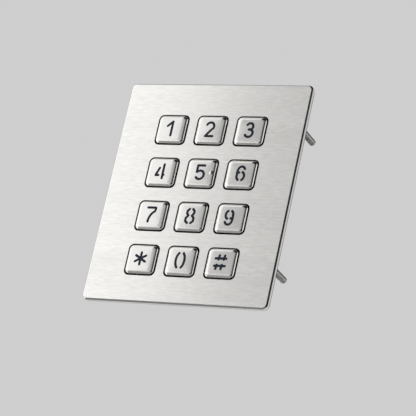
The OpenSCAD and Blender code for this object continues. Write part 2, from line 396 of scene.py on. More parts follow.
class Finish:
    """A node material, with short ways to add and join nodes."""

    def __init__(self, name, metallic, roughness, **sockets):
        self.material = bpy.data.materials.new(name)
        self.material.use_nodes = True
        self.tree = self.material.node_tree
        self.shader = self.tree.nodes["Principled BSDF"]
        self.shader.inputs["Metallic"].default_value = metallic
        self.shader.inputs["Roughness"].default_value = roughness
        for socket, value in sockets.items():
            self.shader.inputs[socket.replace("_", " ")].default_value = value
        self.place = self.node("ShaderNodeTexCoord").outputs["Object"]

    def node(self, kind, **settings):
        made = self.tree.nodes.new(kind)
        for name, value in settings.items():
            setattr(made, name, value)
        return made

    def join(self, output, target):
        self.tree.links.new(output, target)

    def noise(self, scale, detail=4.0, stretch=(1, 1, 1), roughness=0.5):
        mapping = self.node("ShaderNodeMapping")
        mapping.inputs["Scale"].default_value = stretch
        self.join(self.place, mapping.inputs["Vector"])
        made = self.node("ShaderNodeTexNoise")
        made.inputs["Scale"].default_value = scale
        made.inputs["Detail"].default_value = detail
        made.inputs["Roughness"].default_value = roughness
        self.join(mapping.outputs["Vector"], made.inputs["Vector"])
        return made.outputs["Fac"]

    def ramp(self, source, low, high, start=0.3, end=0.7):
        made = self.node("ShaderNodeValToRGB")
        first, last = made.color_ramp.elements
        first.position = start
        first.color = low
        last.position = end
        last.color = high
        self.join(source, made.inputs["Fac"])
        return made.outputs["Color"]

    def spread(self, source, low, high):
        made = self.node("ShaderNodeMapRange")
        made.inputs["From Min"].default_value = 0.25
        made.inputs["From Max"].default_value = 0.75
        made.inputs["To Min"].default_value = low
        made.inputs["To Max"].default_value = high
        self.join(source, made.inputs["Value"])
        return made.outputs["Result"]

    def bump(self, source, strength, depth, below=None):
        made = self.node("ShaderNodeBump")
        made.inputs["Strength"].default_value = strength
        made.inputs["Distance"].default_value = depth
        self.join(source, made.inputs["Height"])
        if below is not None:
            self.join(below, made.inputs["Normal"])
        return made.outputs["Normal"]

    def colour(self, output):
        self.join(output, self.shader.inputs["Base Color"])

    def roughness(self, output):
        self.join(output, self.shader.inputs["Roughness"])

    def normal(self, output):
        self.join(output, self.shader.inputs["Normal"])


def grey(value, warm=0.0):
    return (value * (1 + warm), value, value * (1 - 1.6 * warm), 1)


def brushed_steel():
    """Short horizontal brush marks over fine lines, with faint broad bands."""
    f = Finish("brushed_steel", 1.0, 0.3)
    marks = f.noise(1, 7, stretch=(230, 300, 1300), roughness=0.62)
    lines = f.noise(1, 3, stretch=(90, 900, 5200))
    bands = f.noise(1, 2, stretch=(12, 60, 260))
    f.colour(f.ramp(marks, grey(0.675, 0.016), grey(0.80, 0.016)))
    f.roughness(f.spread(bands, 0.26, 0.36))
    fine = f.bump(lines, 0.18, 0.01 * MM)
    f.normal(f.bump(bands, 0.08, 0.02 * MM, fine))
    return f.material


def satin_steel():
    """Fine blasted grain, a little smoother where fingers have rubbed."""
    f = Finish("satin_steel", 1.0, 0.2)
    grain = f.noise(9000, 3)
    clouds = f.noise(160, 3)
    f.colour(f.ramp(clouds, grey(0.64, 0.016), grey(0.69, 0.016)))
    f.roughness(f.spread(clouds, 0.17, 0.23))
    f.normal(f.bump(grain, 0.12, 0.01 * MM))
    return f.material


def polished_steel():
    """Chamfers and rounded edges, buffed along the edge."""
    f = Finish("polished_steel", 1.0, 0.12)
    haze = f.noise(700, 3)
    f.colour(f.ramp(haze, grey(0.70, 0.016), grey(0.80, 0.016)))
    f.roughness(f.spread(haze, 0.08, 0.15))
    f.normal(f.bump(f.noise(3000, 2), 0.05, 0.01 * MM))
    return f.material


def cut_steel(name, dark, light, roughness):
    """Cut faces, ridged across the thickness of the sheet. Its darker copies are painted shade, on the
    plate's chamfer and on the caps' sides.
    """
    f = Finish(name, 1.0, roughness)
    ridges = f.noise(1, 2, stretch=(5000, 300, 5000))
    f.colour(f.ramp(ridges, grey(dark), grey(light)))
    f.normal(f.bump(ridges, 0.4, 0.02 * MM))
    return f.material


def thread_steel():
    f = Finish("thread_steel", 1.0, 0.35)
    wear = f.noise(900, 4)
    f.colour(f.ramp(wear, grey(0.45, 0.01), grey(0.66, 0.01)))
    f.roughness(f.spread(wear, 0.28, 0.45))
    f.normal(f.bump(f.noise(6000, 2), 0.15, 0.01 * MM))
    return f.material


def zinc_plate():
    f = Finish("zinc_plate", 1.0, 0.28)
    cloud = f.noise(700, 4)
    f.colour(f.ramp(cloud, (0.58, 0.60, 0.64, 1), (0.78, 0.78, 0.77, 1)))
    f.roughness(f.spread(cloud, 0.2, 0.4))
    f.normal(f.bump(f.noise(5000, 2), 0.12, 0.01 * MM))
    return f.material


def navy_resin():
    f = Finish("navy_resin", 0.0, 0.5, Specular_IOR_Level=0.2)
    cloud = f.noise(900, 3)
    f.colour(f.ramp(cloud, (0.006, 0.012, 0.026, 1), (0.014, 0.024, 0.048, 1)))
    f.normal(f.bump(f.noise(7000, 2), 0.15, 0.01 * MM))
    return f.material


def black_rubber():
    f = Finish("black_rubber", 0.0, 0.75)
    dust = f.noise(500, 5)
    f.colour(f.ramp(dust, (0.018, 0.018, 0.019, 1), (0.045, 0.045, 0.045, 1)))
    f.roughness(f.spread(dust, 0.65, 0.85))
    f.normal(f.bump(f.noise(4000, 3), 0.3, 0.02 * MM))
    return f.material


def moulded_black():
    f = Finish("moulded_black", 0.0, 0.5)
    tone = f.noise(250, 3)
    f.colour(f.ramp(tone, (0.016, 0.016, 0.018, 1), (0.030, 0.030, 0.032, 1)))
    f.roughness(f.spread(tone, 0.42, 0.58))
    f.normal(f.bump(f.noise(5200, 2), 0.35, 0.02 * MM))
    return f.material


def silicone():
    f = Finish("silicone", 0.0, 0.55, Subsurface_Weight=0.1, Subsurface_Scale=0.002)
    tone = f.noise(300, 3)
    f.colour(f.ramp(tone, (0.30, 0.31, 0.32, 1), (0.40, 0.41, 0.42, 1)))
    f.normal(f.bump(f.noise(2500, 2), 0.2, 0.02 * MM))
    return f.material


def carbon():
    f = Finish("carbon", 0.0, 0.6)
    grain = f.noise(6000, 3)
    f.colour(f.ramp(grain, (0.010, 0.010, 0.010, 1), (0.035, 0.035, 0.036, 1)))
    f.normal(f.bump(grain, 0.3, 0.01 * MM))
    return f.material


def solder_mask():
    """Green lacquer over glass weave."""
    f = Finish("solder_mask", 0.0, 0.32, Coat_Weight=0.3)
    weave = f.node("ShaderNodeTexWave", bands_direction="X")
    weave.inputs["Scale"].default_value = 1500
    f.join(f.place, weave.inputs["Vector"])
    across = f.node("ShaderNodeTexWave", bands_direction="Z")
    across.inputs["Scale"].default_value = 1500
    f.join(f.place, across.inputs["Vector"])
    tone = f.noise(120, 3)
    f.colour(f.ramp(tone, (0.008, 0.095, 0.045, 1), (0.014, 0.135, 0.065, 1)))
    f.roughness(f.spread(tone, 0.26, 0.38))
    first = f.bump(weave.outputs["Fac"], 0.15, 0.01 * MM)
    f.normal(f.bump(across.outputs["Fac"], 0.15, 0.01 * MM, first))
    return f.material


def board_laminate():
    """The tan glass-fibre layers that show at the board's cut edge."""
    f = Finish("board_laminate", 0.0, 0.6)
    layers = f.noise(1, 3, stretch=(600, 9000, 600))
    f.colour(f.ramp(layers, (0.34, 0.30, 0.15, 1), (0.50, 0.45, 0.26, 1)))
    f.normal(f.bump(layers, 0.3, 0.01 * MM))
    return f.material


def covered_copper():
    f = Finish("covered_copper", 0.0, 0.3, Coat_Weight=0.3)
    tone = f.noise(400, 3)
    f.colour(f.ramp(tone, (0.022, 0.20, 0.085, 1), (0.032, 0.26, 0.11, 1)))
    f.normal(f.bump(f.noise(3000, 2), 0.1, 0.01 * MM))
    return f.material


def gold_plate():
    f = Finish("gold_plate", 1.0, 0.25)
    tone = f.noise(900, 3)
    f.colour(f.ramp(tone, (0.72, 0.50, 0.20, 1), (0.90, 0.68, 0.32, 1)))
    f.roughness(f.spread(tone, 0.18, 0.34))
    f.normal(f.bump(f.noise(5000, 2), 0.08, 0.01 * MM))
    return f.material


def tin_solder():
    f = Finish("tin_solder", 1.0, 0.3)
    tone = f.noise(1400, 4)
    f.colour(f.ramp(tone, (0.55, 0.56, 0.57, 1), (0.80, 0.80, 0.80, 1)))
    f.roughness(f.spread(tone, 0.2, 0.45))
    f.normal(f.bump(tone, 0.2, 0.03 * MM))
    return f.material


def white_ink():
    f = Finish("white_ink", 0.0, 0.6)
    tone = f.noise(1500, 3)
    f.colour(f.ramp(tone, (0.62, 0.62, 0.60, 1), (0.80, 0.80, 0.78, 1)))
    f.normal(f.bump(tone, 0.2, 0.01 * MM))
    return f.material


PLATE = brushed_steel()
SATIN = satin_steel()
POLISHED = polished_steel()
WALL = cut_steel("window_wall", 0.68, 0.82, 0.6)
# Near-black copy of the steel: painted shade on the caps' sides down in the gap round each window
SHADED_CAP_SIDE = cut_steel("cap_side_painted_shade", 0.025, 0.05, 0.5)
# Darker copy of the steel: painted shade on the plate's front chamfer, where it reflects the dark studio
SHADED_CHAMFER = cut_steel("chamfer_painted_shade", 0.38, 0.48, 0.1)
THREAD = thread_steel()
ZINC = zinc_plate()
RESIN = navy_resin()
RUBBER = black_rubber()
MOULDED = moulded_black()
SILICONE = silicone()
CARBON = carbon()
MASK = solder_mask()
LAMINATE = board_laminate()
COPPER = covered_copper()
GOLD = gold_plate()
SOLDER = tin_solder()
INK = white_ink()

# ---------------------------------------------------------------- faceplate and keys

cap_size = size("key_1") - Vector((2 * FLANGE_LIP, 0, 2 * FLANGE_LIP))
flange_front = key_back - FLANGE_T
core_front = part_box("core_1")[0][1] - LEGEND_SINK + CAP_WALL


def make_faceplate():
    """Sheet with twelve windows. Its front, edges, window walls and chamfer have their own finishes; the
    chamfer's darker steel is painted shade.
    """
    bm = bmesh.new()
    outer = rounded_rect(size("faceplate").x, size("faceplate").z, PLATE_CORNER)
    holes = []
    for key in KEYS:
        at = centre("core_" + key)
        width = cap_size.x + 2 * KEY_GAP
        height = cap_size.z + 2 * KEY_GAP
        holes.append(rounded_rect(width, height, KEY_CORNER + KEY_GAP / 2, at.x, at.z))
    front_edge = chamfer_end(PLATE_CHAMFER, INNER_ROUND, FINE_EDGE)
    outer_ends = (front_edge, round_end(EDGE_BREAK))
    window_ends = (round_end(EDGE_BREAK), round_end(FINE_EDGE / 2))
    holed_plate(bm, outer, holes, plate_front, plate_back, outer_ends, window_ends)
    plate = new_object("faceplate_sheet", bm)
    finishes = [PLATE, POLISHED, WALL, SHADED_CHAMFER]
    finish_piece(plate, "panel", finishes, ["faceplate"])
    rim = 3 * MM
    rim_x = size("faceplate").x / 2 - rim
    rim_z = size("faceplate").z / 2 - rim
    skin = 0.01 * MM
    chamfer_shade_from = INNER_ROUND * (1 - cos(radians(36)))
    for p in plate.data.polygons:
        at_rim = abs(p.center.x) > rim_x or abs(p.center.z) > rim_z
        depth = p.center.y - plate_front
        if depth > skin and p.center.y < plate_back - skin:
            if not at_rim:
                p.material_index = finishes.index(WALL)
            elif depth > PLATE_CHAMFER:
                p.material_index = finishes.index(POLISHED)
            # Faces of the front chamfer take the darker steel, as painted shade
            elif depth > chamfer_shade_from:
                p.material_index = finishes.index(SHADED_CHAMFER)


def cap_cavity(at):
    """Outline of the hollow in a cap, which the legend's core fills."""
    corner = KEY_CORNER - CAP_WALL / 2
    return rounded_rect(cap_size.x - 2 * CAP_WALL, cap_size.z - 2 * CAP_WALL, corner, at.x, at.z)


def make_cap(key):
    """Crowned shell with a flange behind, open at the back, and its legend cut through."""
    at = centre("core_" + key)
    bm = bmesh.new()
    body = rounded_rect(cap_size.x, cap_size.z, KEY_CORNER, at.x, at.z)
    cavity = cap_cavity(at)
    rings = []
    face_reach = cap_size.z / 2 - KEY_RIM
    rim_start = 2 * KEY_CROWN / face_reach
    face_corner = KEY_CORNER - CORNER_TIGHTENING * KEY_RIM
    for reach in (0.1, 0.25, 0.4, 0.55, 0.7, 0.82, 0.92):
        inset = KEY_RIM + (1 - reach) * face_reach
        corner = reach * (face_corner + (face_reach - face_corner) * (1 - reach))
        rings.append(ring(bm, body(-inset, corner - KEY_CORNER), key_front + KEY_CROWN * reach ** 2))
    rim_steps = 12
    for k in range(rim_steps + 1):
        a = rim_start + (pi / 2 - rim_start) * k / rim_steps
        inset = KEY_RIM * (1 - sin(a))
        drop = KEY_CROWN + KEY_RIM * (cos(rim_start) - cos(a))
        rings.append(ring(bm, body(-inset, -CORNER_TIGHTENING * inset), key_front + drop))
    for grow, y in (
        (0, plate_front + FINE_EDGE), (0, flange_front), (FLANGE_LIP - FINE_EDGE, flange_front),
        (FLANGE_LIP, flange_front + FINE_EDGE), (FLANGE_LIP, key_back - FINE_EDGE),
        (FLANGE_LIP - FINE_EDGE, key_back),
    ):
        rings.append(ring(bm, body(grow), y))
    rings.append(ring(bm, cavity(), key_back))
    rings.append(ring(bm, cavity(), core_front))
    tube(bm, rings)
    bm.faces.new(rings[0])
    bm.faces.new(rings[-1])
    cap = new_object("cap_" + key, bm)
    slots = legend_solid(key, "slots", at.x, at.z, key_front - 0.5 * MM, core_front + 0.4 * MM)
    boolean(cap, slots, "DIFFERENCE")
    if key == "5":
        boolean(cap, make_pip(at), "UNION")
    finish_piece(cap, "button_" + key, [SATIN, SHADED_CAP_SIDE], ["key_" + key])
    # Faces behind this level take the near-black steel, as painted shade in the gap round the cap
    for p in cap.data.polygons:
        if p.center.y > plate_front + CAP_SHADE_FROM:
            p.material_index = 1


def make_pip(at):
    """Low blunt cone near the right edge of the middle key, to find it by touch."""
    bm = bmesh.new()
    radius = 0.98 * MM
    height = 0.49 * MM
    foot = 0.5 * MM
    tip_round = 0.6 * MM
    slope = radians(37)
    steps = 5
    tip = key_front - height
    turns = [slope * k / steps for k in range(1, steps + 1)]
    profile = [(0, tip)] + [(tip_round * sin(a), tip + tip_round * (1 - cos(a))) for a in turns]
    last_r, last_y = profile[-1]
    base = key_front + foot
    profile += [(radius, last_y + (radius - last_r) * tan(slope)), (radius, base), (0, base)]
    lathe(bm, profile, at.x + PIP_X, at.z, 24)
    return new_object("pip", bm)


def make_core(key):
    """Resin that fills a cap and shows through its legend."""
    at = centre("core_" + key)
    bm = bmesh.new()
    prism(bm, cap_cavity(at)(), core_front, key_back)
    core = new_object("legend_" + key, bm)
    raised = legend_solid(key, "raised", at.x, at.z, key_front + LEGEND_SINK, core_front + 0.2 * MM)
    boolean(core, raised, "UNION")
    finish_piece(core, "button_" + key, [RESIN], ["core_" + key])


make_faceplate()
for key in KEYS:
    make_cap(key)
    make_core(key)

# ---------------------------------------------------------------- threaded studs, nuts, washers


def corners_of(node, inset):
    """Centres of the fasteners at the four corners of a node's box."""
    low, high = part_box(node)
    xs = (low[0] + inset, high[0] - inset)
    zs = (low[2] + inset, high[2] - inset)
    return [(x, z) for x in xs for z in zs]


def threaded_rod(bm, radius, pitch, start, tip, x, z, around=32, per_turn=6):
    """Rod along Y with a helical V thread that fades into a chamfer at the tip."""
    depth = 0.6 * pitch
    chamfer = radius / 3
    rows = []
    count = int((tip - start) / pitch * per_turn)
    for k in range(count + 1):
        y = start + (tip - start) * k / count
        row = []
        for j in range(around):
            turn = ((y - start) / pitch - j / around) % 1.0
            groove = depth * (1 - abs(2 * turn - 1))
            r = min(radius - groove, radius - max(0.0, y - (tip - chamfer)))
            a = 2 * pi * j / around
            row.append(bm.verts.new((x + r * cos(a), y, z + r * sin(a))))
        rows.append(row)
    tube(bm, rows)
    bm.faces.new(rows[0])
    bm.faces.new(rows[-1])


def make_mount_studs():
    """M3 studs, each with a weld collar at its foot."""
    bm = bmesh.new()
    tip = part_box("mount_studs")[1][1]
    edge = 0.15 * MM
    inner = 1.0 * MM
    collar = [
        (inner, plate_back), (COLLAR_R, plate_back), (COLLAR_R, seal_plane - edge),
        (COLLAR_R - edge, seal_plane), (inner, seal_plane), (inner, plate_back),
    ]
    for x, z in corners_of("mount_studs", COLLAR_R):
        lathe(bm, collar, x, z)
        threaded_rod(bm, M3_R, M3_PITCH, plate_back, tip, x, z)
    studs = new_object("m3_studs", bm)
    finish_piece(studs, "panel", [THREAD], ["mount_studs"])


def clamp_places():
    """Centres of the six M2.5 studs that clamp the board: four at the corners, two at mid height."""
    low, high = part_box("frame_washers")
    middle = (low[2] + high[2]) / 2
    sides = [(low[0] + WASHER_R, middle), (high[0] - WASHER_R, middle)]
    return corners_of("frame_washers", WASHER_R) + sides


def make_frame_studs():
    bm = bmesh.new()
    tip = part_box("frame_studs")[1][1]
    for x, z in clamp_places():
        threaded_rod(bm, M25_R, M25_PITCH, plate_back, tip, x, z)
    studs = new_object("m25_studs", bm)
    finish_piece(studs, "panel", [THREAD], ["frame_studs"])


def make_washers():
    bm = bmesh.new()
    outer = WASHER_R
    clearance = 0.1 * MM
    inner = M25_R + clearance
    edge = 0.08 * MM
    front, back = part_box("frame_washers")[0][1], washer_back
    profile = [
        (inner, front + edge), (inner + edge, front), (outer - edge, front), (outer, front + edge),
        (outer, back - edge), (outer - edge, back), (inner + edge, back), (inner, back - edge),
        (inner, front + edge),
    ]
    for x, z in clamp_places():
        lathe(bm, profile, x, z, 40)
    bmesh.ops.remove_doubles(bm, verts=bm.verts, dist=0.001 * MM)
    washers = new_object("washers", bm)
    finish_piece(washers, "panel", [ZINC], ["frame_washers"])


def make_nuts():
    """Hexagon nuts with the corners turned down and the bore countersunk."""
    bm = bmesh.new()
    flat = 2.5 * MM
    bore = 1.27 * MM
    sink = 0.2 * MM
    face_r = 0.96 * flat
    steps = 60

    def hexagon():
        points = []
        for k in range(steps):
            a = 2 * pi * k / steps
            within = (a + pi / 6) % (pi / 3) - pi / 6
            r = flat / cos(within)
            points.append((r * cos(a), r * sin(a), r))
        return points

    for x, z in clamp_places():
        rows = []
        for level, way in ((washer_back, 1), (nut_back, -1)):
            part = [
                ring(bm, disc(bore, x, z, steps)(), level + way * sink),
                ring(bm, disc(bore + sink, x, z, steps)(), level),
                ring(bm, disc(face_r, x, z, steps)(), level),
                [
                    bm.verts.new((x + px, level + way * max(0.0, r - face_r) * tan(pi / 6), z + pz))
                    for px, pz, r in hexagon()
                ],
            ]
            rows.append(part)
        tube(bm, rows[0] + rows[1][::-1] + [rows[0][0]])
    nuts = new_object("nuts", bm)
    finish_piece(nuts, "panel", [ZINC], ["frame_nuts"])


make_mount_studs()
make_frame_studs()
make_washers()
make_nuts()

# ---------------------------------------------------------------- gasket, keymat and board


def make_gasket():
    """Flat ring round the rear assembly, with a hole for each stud's collar."""
    bm = bmesh.new()
    outer = rounded_rect(size("gasket").x, size("gasket").z, PLATE_CORNER)
    rear = size("circuit_board")
    holes = [rounded_rect(rear.x + 2 * GASKET_SIDE_GAP, rear.z + 2 * GASKET_END_GAP, PLATE_CORNER)]
    holes += [disc(GASKET_HOLE_R, x, z) for x, z in corners_of("mount_studs", COLLAR_R)]
    ends = (round_end(EDGE_BREAK), round_end(EDGE_BREAK))
    holed_plate(bm, outer, holes, plate_back, seal_plane, ends, ends)
    gasket = new_object("seal_ring", bm)
    finish_piece(gasket, "panel", [RUBBER], ["gasket"])


def make_keymat():
    """The flat web of the silicone mat, and a dome under each key."""
    bm = bmesh.new()
    low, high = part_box("keymat")
    outer = rounded_rect(high[0] - low[0], high[2] - low[2], PLATE_CORNER, 0.0, (low[2] + high[2]) / 2)
    holes = [disc(DOME_R, centre("core_" + key).x, centre("core_" + key).z, 40) for key in KEYS]
    holes += [disc(CLAMP_HOLE, x, z) for x, z in clamp_places()]
    soft = (round_end(FINE_EDGE), round_end(FINE_EDGE))
    square = (round_end(0), round_end(0))
    holed_plate(bm, outer, holes, mat_front, mat_back, soft, square)
    mat = new_object("keymat_web", bm)
    finish_piece(mat, "panel", [SILICONE], ["keymat"])
    for key in KEYS:
        make_dome(key)


def make_dome(key):
    """Thin cone with a plunger, from the mat to the key's pill."""
    at = centre("core_" + key)
    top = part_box("keymat")[0][1]
    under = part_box("pill_" + key)[0][1] - PILL_GLUE
    shoulder = top + 0.9 * MM
    web = 0.5 * MM
    bm = bmesh.new()
    profile = [
        (0, top), (PLUNGER_R - 0.3 * MM, top), (PLUNGER_R, top + 0.3 * MM), (PLUNGER_R, shoulder),
        (PLUNGER_R + 0.2 * MM, shoulder + 0.15 * MM), (DOME_R - 0.3 * MM, mat_front - 0.1 * MM),
        (DOME_R, mat_front), (DOME_R, mat_back), (DOME_R - web, mat_back),
        (DOME_R - web, mat_front + web), (PLUNGER_R - 0.1 * MM, under), (0, under),
    ]
    lathe(bm, profile, at.x, at.z, 40)
    dome = new_object("dome_" + key, bm)
    dome.data.materials.append(SILICONE)
    shade(dome.data)
    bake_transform(dome)
    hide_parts("keymat")


make_gasket()
make_keymat()

# ---------------------------------------------------------------- guide frame and circuit board


def box_solid(bm, low, high, taper=0.0):
    """A box whose back face is smaller than its front by the taper on every side."""
    front = [(low[0], low[2]), (high[0], low[2]), (high[0], high[2]), (low[0], high[2])]
    back = [
        (low[0] + taper, low[2] + taper), (high[0] - taper, low[2] + taper),
        (high[0] - taper, high[2] - taper), (low[0] + taper, high[2] - taper),
    ]
    rings = [ring(bm, front, low[1]), ring(bm, back, high[1])]
    tube(bm, rings)
    bm.faces.new(rings[0])
    bm.faces.new(rings[1])


def make_guide_frame():
    """Moulded grid: a hole for every flange, and a ledge with a pocket round the pin tails."""
    bm = bmesh.new()
    low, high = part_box("guide_frame")
    width, height = high[0] - low[0], high[2] - low[2]
    grow = 2 * (FLANGE_LIP + GUIDE_GAP)
    corner = KEY_CORNER + FLANGE_LIP
    holes = []
    for key in KEYS:
        at = centre("core_" + key)
        holes.append(rounded_rect(cap_size.x + grow, cap_size.z + grow, corner, at.x, at.z))
    holes += [disc(CLAMP_HOLE, x, z) for x, z in clamp_places()]
    soft = (round_end(0.25 * MM), round_end(0.25 * MM))
    fine = (round_end(FINE_EDGE, 2), round_end(FINE_EDGE, 2))
    holed_plate(bm, rounded_rect(width, height, PLATE_CORNER), holes, low[1], mat_front, soft, fine)
    frame_grid = new_object("guide_grid", bm)

    bm = bmesh.new()
    ledge_side = 1 * MM
    ledge_root = 0.5 * MM
    ledge_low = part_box("keymat")[1][2] + 0.4 * MM
    ledge_high = high[2] - 0.3 * MM
    box_solid(
        bm, (low[0] + ledge_side, mat_front - ledge_root, ledge_low),
        (high[0] - ledge_side, high[1], ledge_high),
    )
    boolean(frame_grid, new_object("ledge", bm), "UNION")
    bm = bmesh.new()
    pocket_w, pocket_h, pocket_deep = TAIL_POCKET
    overcut = 1 * MM
    z = centre("header_pins").z
    box_solid(
        bm, (-pocket_w / 2, high[1] - pocket_deep, z - pocket_h / 2),
        (pocket_w / 2, high[1] + overcut, z + pocket_h / 2),
    )
    boolean(frame_grid, new_object("pocket", bm), "DIFFERENCE")
    finish_piece(frame_grid, "panel", [MOULDED], ["guide_frame"])


def row_places(node, width, count):
    """Centres of the equal things that make up a node, in a row along X."""
    low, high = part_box(node)
    first = low[0] + width / 2
    last = high[0] - width / 2
    z = (low[2] + high[2]) / 2
    return [(first + (last - first) * k / (count - 1), z) for k in range(count)]


def pin_places():
    return row_places("header_pins", PIN_SIDE, PIN_COUNT)


def diode_places():
    return row_places("line_diodes", DIODE_W, DIODE_COUNT)


def make_board():
    """Green board with a tan cut edge."""
    bm = bmesh.new()
    board = size("circuit_board")
    holes = [disc(CLAMP_HOLE, x, z) for x, z in clamp_places()]
    holes += [disc(PIN_HOLE_R, x, z, 20) for x, z in pin_places()]
    edge = round_end(0.06 * MM, 2)
    ends = (edge, edge)
    holed_plate(bm, rounded_rect(board.x, board.z, PLATE_CORNER), holes, mat_back, board_back, ends, ends)
    sheet = new_object("board_sheet", bm)
    finish_piece(sheet, "panel", [MASK, LAMINATE], ["circuit_board"])
    for p in sheet.data.polygons:
        if mat_back + FINE_EDGE < p.center.y < board_back - FINE_EDGE:
            p.material_index = 1


def trace_paths():
    """Column lines down the board, and row lines inside its left clamps to a via beside each row."""
    paths = []
    vias = []
    pins = pin_places()
    diodes = diode_places()
    diode_z = diodes[0][1]
    pad_end = 1.1 * MM
    bend = 1.6 * MM
    bus_z = diode_z - 2.6 * MM
    for (pin_x, pin_z), (x, z) in zip(pins, diodes):
        elbow = z + bend + abs(pin_x - x)
        paths.append([(pin_x, pin_z), (pin_x, elbow), (x, z + bend), (x, z + pad_end)])
        paths.append([(x, z - pad_end), (x, bus_z)])

    ground_x, ground_z = pins[-1]
    side_x = diodes[-1][0] + 2 * LANE
    paths.append([
        (diodes[0][0], bus_z), (side_x, bus_z), (side_x, ground_z - 2 * MM), (ground_x, ground_z - 1 * MM),
        (ground_x, ground_z),
    ])

    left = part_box("frame_washers")[0][0] + WASHER_R + CLAMP_PAD + 0.8 * MM
    for row, key in enumerate(("1", "4", "7", "star")):
        diode_x = diodes[row][0]
        x = left + LANE * (3 - row)
        z = centre("core_" + key).z
        level = diode_z + 2.2 * MM + LANE * row
        paths.append([(x, level), (x, z)])
        paths.append([(x, level), (diode_x - LANE, level), (diode_x, level - LANE)])
        vias.append((x, z))

    for column, key in enumerate(("1", "2", "3")):
        x = centre("core_" + key).x + 4.8 * MM
        start_x = diodes[4 + column][0] + LANE
        level = bus_z - LANE * (column + 1)
        paths.append([(start_x, level), (x, level), (x, centre("core_hash").z)])
        vias += [(x, centre("core_" + k).z) for k in KEYS[column::3]]
        vias.append((start_x, level))
    return paths, vias


def make_board_details():
    """Tracks, plated holes and pads, and white print, on the rear face of the board."""
    paths, vias = trace_paths()
    bm = bmesh.new()
    for path in paths:
        prism(bm, stroke_outline(path, TRACE_W), board_back - COPPER_T, board_back + COPPER_T)
    traces = new_object("board_traces", bm)
    finish_piece(traces, "panel", [COPPER])

    bm = bmesh.new()
    for x, z in pin_places():
        annulus(bm, x, z, PIN_HOLE_R, 0.85 * MM, board_back, board_back + COPPER_T)
    for x, z in vias:
        annulus(bm, x, z, 0.15 * MM, 0.4 * MM, board_back, board_back + 1.2 * COPPER_T)
    for x, z in clamp_places():
        annulus(bm, x, z, CLAMP_HOLE, CLAMP_PAD, board_back, board_back + 0.8 * COPPER_T)
    pads = new_object("board_pads", bm)
    finish_piece(pads, "panel", [GOLD])

    bm = bmesh.new()
    for x, z in diode_places():
        frame_lines(bm, x, z, 2.0 * MM, 4.0 * MM)
    header = size("header_body")
    at = centre("header_body")
    margin = 0.4 * MM
    frame_lines(bm, at.x, at.z, header.x + 2 * margin, header.z + 2 * margin)
    ring_r = 3.6 * MM
    for key in KEYS:
        at = centre("core_" + key)
        annulus(bm, at.x, at.z, ring_r, ring_r + INK_LINE, board_back, board_back + 1.4 * COPPER_T)
    ink = new_object("board_ink", bm)
    finish_piece(ink, "panel", [INK])


def annulus(bm, x, z, inner, outer, front, back):
    lathe(bm, [(inner, front), (outer, front), (outer, back), (inner, back), (inner, front)], x, z, 28)


def frame_lines(bm, x, z, width, height):
    """Four printed lines round a part."""
    corners = [(x + sx * width / 2, z + sz * height / 2) for sx, sz in ((-1, -1), (1, -1), (1, 1), (-1, 1))]
    for k in range(4):
        ends = (corners[k], corners[(k + 1) % 4])
        prism(bm, stroke_outline(ends, INK_LINE), board_back, board_back + COPPER_T)


def make_diodes():
    """Moulded bodies with a band at one end, on bent tin leads with solder under them."""
    height = size("line_diodes").y
    half_w = DIODE_W / 2
    half_l = size("line_diodes").z / 2
    body_l = 0.95 * MM
    lead_w = 0.2 * MM
    solder_w = 0.4 * MM
    joint_in = 0.06 * MM
    top = board_back + height
    middle = board_back + 0.45 * height
    bodies = bmesh.new()
    leads = bmesh.new()
    bands = bmesh.new()

    def lead_box(x, z, way, reach, half, levels, taper=0.0):
        """Part of a lead, between two distances from the diode's middle."""
        near, far = sorted(z + way * r for r in reach)
        box_solid(leads, (x - half, levels[0], near), (x + half, levels[1], far), taper)

    for x, z in diode_places():
        box_solid(bodies, (x - half_w, middle, z - body_l), (x + half_w, top, z + body_l), 0.08 * MM)
        box_solid(
            bodies, (x - half_w + joint_in, board_back + 0.05 * MM, z - body_l + joint_in),
            (x + half_w - joint_in, middle, z + body_l - joint_in),
        )
        band_low = z + body_l - 0.55 * MM
        band_w = half_w - 0.09 * MM
        box_solid(bands, (x - band_w, top - 0.05 * MM, band_low), (x + band_w, top, band_low + 0.3 * MM))
        root = body_l - 0.1 * MM
        for way in (-1, 1):
            foot = (board_back + 0.02 * MM, board_back + 0.15 * MM)
            lead_box(x, z, way, (root, half_l), lead_w, foot)
            riser = (board_back + 0.1 * MM, middle + 0.06 * MM)
            lead_box(x, z, way, (root, body_l + 0.12 * MM), lead_w, riser)
            solder = (board_back, board_back + 0.07 * MM)
            lead_box(x, z, way, (body_l + 0.05 * MM, half_l + 0.25 * MM), solder_w, solder, 0.04 * MM)
    finish_piece(new_object("diode_bodies", bodies), "panel", [MOULDED], ["line_diodes"])
    finish_piece(new_object("diode_leads", leads), "panel", [SOLDER])
    finish_piece(new_object("diode_bands", bands), "panel", [INK])


